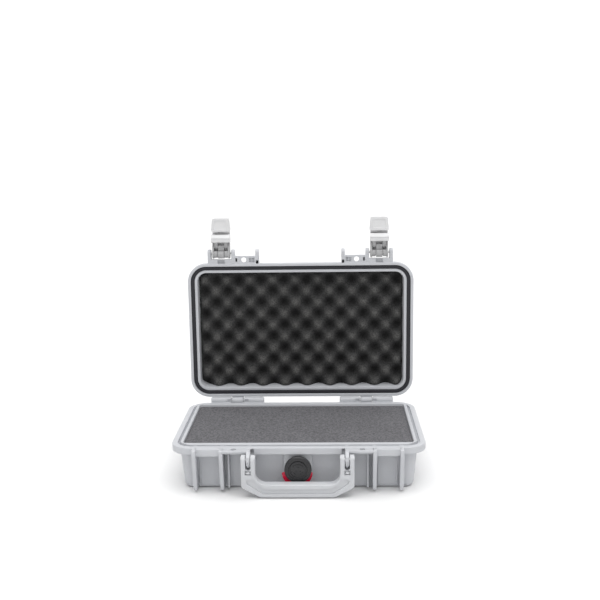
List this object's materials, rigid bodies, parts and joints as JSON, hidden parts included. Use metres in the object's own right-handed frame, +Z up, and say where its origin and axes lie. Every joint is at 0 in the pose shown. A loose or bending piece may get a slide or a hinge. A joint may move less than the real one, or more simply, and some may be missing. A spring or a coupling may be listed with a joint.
{
  "type": "hard carrying case",
  "caption": "Small hard plastic carrying case, open: sealed lid on rear hinges, two front draw latches, folding handle, relief valve and foam linings in base and lid.",
  "frame": {"origin": "centre of the base's flat underside", "axes": "+X to the right seen from the front, +Y from the handle to the hinges, +Z up; the lid stands open at rest"},
  "size_m": [0.292, 0.2437, 0.2958],
  "materials": {
    "shell_plastic": "satin",
    "handle_plastic": "satin",
    "latch_plastic": "satin",
    "base_foam": "matte",
    "lid_foam": "matte",
    "seal_rubber": "satin",
    "pin_steel": "satin",
    "valve_black": "satin",
    "valve_red": "gloss"
  },
  "bodies": {
    "base": {"base_shell": "shell_plastic", "base_foam_pad": "base_foam", "base_foam_block": "base_foam", "hinge_pin_left": "pin_steel", "hinge_pin_right": "pin_steel", "handle_pin_left": "pin_steel", "handle_pin_right": "pin_steel", "valve_washer": "seal_rubber", "valve_body": "valve_black", "valve_nut": "valve_black", "valve_collar": "valve_red"},
    "lid": {"lid_shell": "shell_plastic", "lid_gasket": "seal_rubber", "lid_foam": "lid_foam", "latch_pin_left": "pin_steel", "latch_pin_right": "pin_steel"},
    "handle": {"handle": "handle_plastic"},
    "latch_lever_left": {"latch_lever_left": "latch_plastic", "hook_pin_left": "pin_steel"},
    "latch_lever_right": {"latch_lever_right": "latch_plastic", "hook_pin_right": "pin_steel"},
    "latch_hook_left": {"latch_hook_left": "latch_plastic"},
    "latch_hook_right": {"latch_hook_right": "latch_plastic"},
    "valve_stem": {"valve_stem": "valve_black", "valve_o_ring": "seal_rubber"},
    "valve_knob": {"valve_knob": "valve_black"}
  },
  "joints": [
    {"name": "lid_hinge", "type": "hinge", "parent": "base", "child": "lid", "pos_m": [0, 0.0941, 0.0543], "axis": [1, 0, 0], "range_deg": [0, 90]},
    {"name": "handle_swing", "type": "hinge", "parent": "base", "child": "handle", "pos_m": [0, -0.1022, 0.04355], "axis": [-1, 0, 0], "range_deg": [0, 95]},
    {"name": "latch_lever_left_swing", "type": "hinge", "parent": "lid", "child": "latch_lever_left", "pos_m": [-0.1018, 0.0984, 0.2504], "axis": [1, 0, 0], "range_deg": [-80, 90]},
    {"name": "latch_hook_left_swing", "type": "hinge", "parent": "latch_lever_left", "child": "latch_hook_left", "pos_m": [-0.1018, 0.0992, 0.259], "axis": [-1, 0, 0], "range_deg": [-45, 0]},
    {"name": "latch_lever_right_swing", "type": "hinge", "parent": "lid", "child": "latch_lever_right", "pos_m": [0.1018, 0.0984, 0.2504], "axis": [1, 0, 0], "range_deg": [-80, 90]},
    {"name": "latch_hook_right_swing", "type": "hinge", "parent": "latch_lever_right", "child": "latch_hook_right", "pos_m": [0.1018, 0.0992, 0.259], "axis": [-1, 0, 0], "range_deg": [-45, 0]},
    {"name": "valve_stem_slide", "type": "slide", "parent": "base", "child": "valve_stem", "axis": [0, -1, 0], "range_m": [0, 0.0012]},
    {"name": "valve_knob_turn", "type": "hinge", "parent": "valve_stem", "child": "valve_knob", "pos_m": [0, -0.09, 0.028], "axis": [0, -1, 0], "range_deg": [0, 360]}
  ],
  "couplings": [
    {"joint": "valve_stem_slide", "follows": "valve_knob_turn", "m_per_rad": 0.00019}
  ]
}
